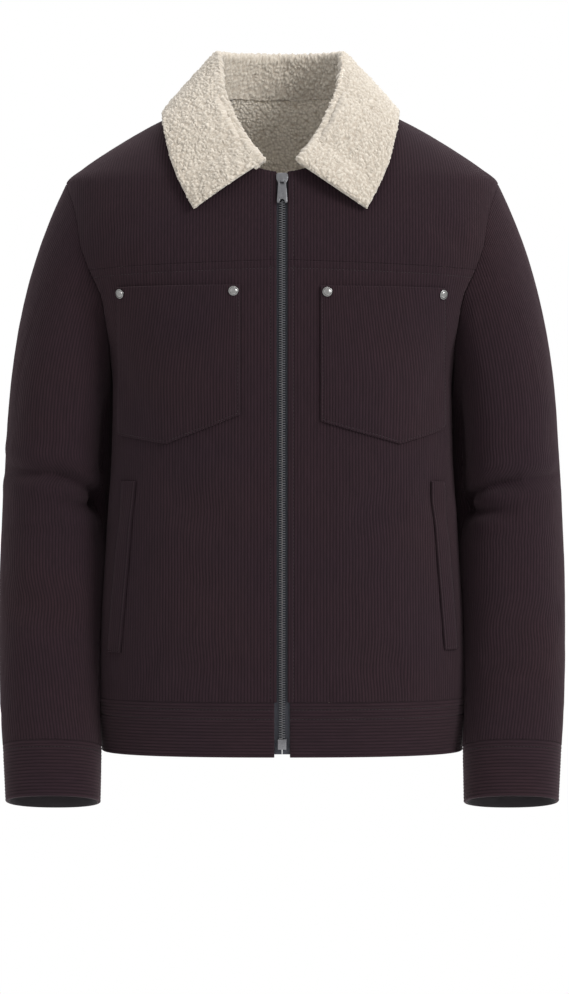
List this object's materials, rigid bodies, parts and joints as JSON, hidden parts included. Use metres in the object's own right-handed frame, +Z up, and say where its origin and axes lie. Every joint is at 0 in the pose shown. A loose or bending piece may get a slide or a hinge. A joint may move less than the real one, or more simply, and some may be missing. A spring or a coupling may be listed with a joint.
{
  "type": "sherpa lined jacket",
  "caption": "Zip-up corduroy trucker jacket with a turned-down sherpa collar, flapless pointed chest pockets, slanted welt pockets and a banded hem, held open in its worn shape.",
  "frame": {"origin": "midway between the shoulders, at the height where the shoulder seams meet the neckline, where a wearer's shoulders and neck carry the jacket", "axes": "+Z up, -Y out of the front, +X to the right as seen from the front"},
  "size_m": [0.585, 0.2658, 0.7898],
  "materials": {
    "corduroy": "dark aubergine brown cotton corduroy, wales about 3.3 mm apart and running up the cloth",
    "corduroy_band": "the same corduroy cut across the grain, for hem band and cuffs",
    "sherpa": "cream curly pile in nubs about 4 mm across",
    "zip_tape": "woven blue-grey zip tape",
    "gunmetal": "darkened metal, satin",
    "rivet_steel": "worn nickel dome, satin"
  },
  "bodies": {
    "jacket": {"back": "corduroy", "chest_pocket_left": "corduroy", "chest_pocket_right": "corduroy", "collar": "sherpa", "cuff_left": "corduroy_band", "cuff_right": "corduroy_band", "front_left": "corduroy", "front_right": "corduroy", "front_yoke_left": "corduroy", "front_yoke_right": "corduroy", "hand_pocket_welt_left": "corduroy", "hand_pocket_welt_right": "corduroy", "rivet_left_inner": "rivet_steel", "rivet_left_outer": "rivet_steel", "rivet_right_inner": "rivet_steel", "rivet_right_outer": "rivet_steel", "top_sleeve_left": "corduroy", "top_sleeve_right": "corduroy", "under_sleeve_left": "corduroy", "under_sleeve_right": "corduroy", "waistband_back": "corduroy_band", "waistband_left": "corduroy_band", "waistband_right": "corduroy_band", "zip_box": "gunmetal", "zip_chain": "gunmetal", "zip_slider": "gunmetal", "zip_tape_left": "zip_tape", "zip_tape_right": "zip_tape"},
    "pull_tab": {"zip_pull": "gunmetal"}
  },
  "joints": [
    {"name": "pull_swing", "type": "hinge", "parent": "jacket", "child": "pull_tab", "pos_m": [0, -0.11177, -0.09601], "axis": [-1, 0, 0], "range_deg": [0, 170]}
  ]
}
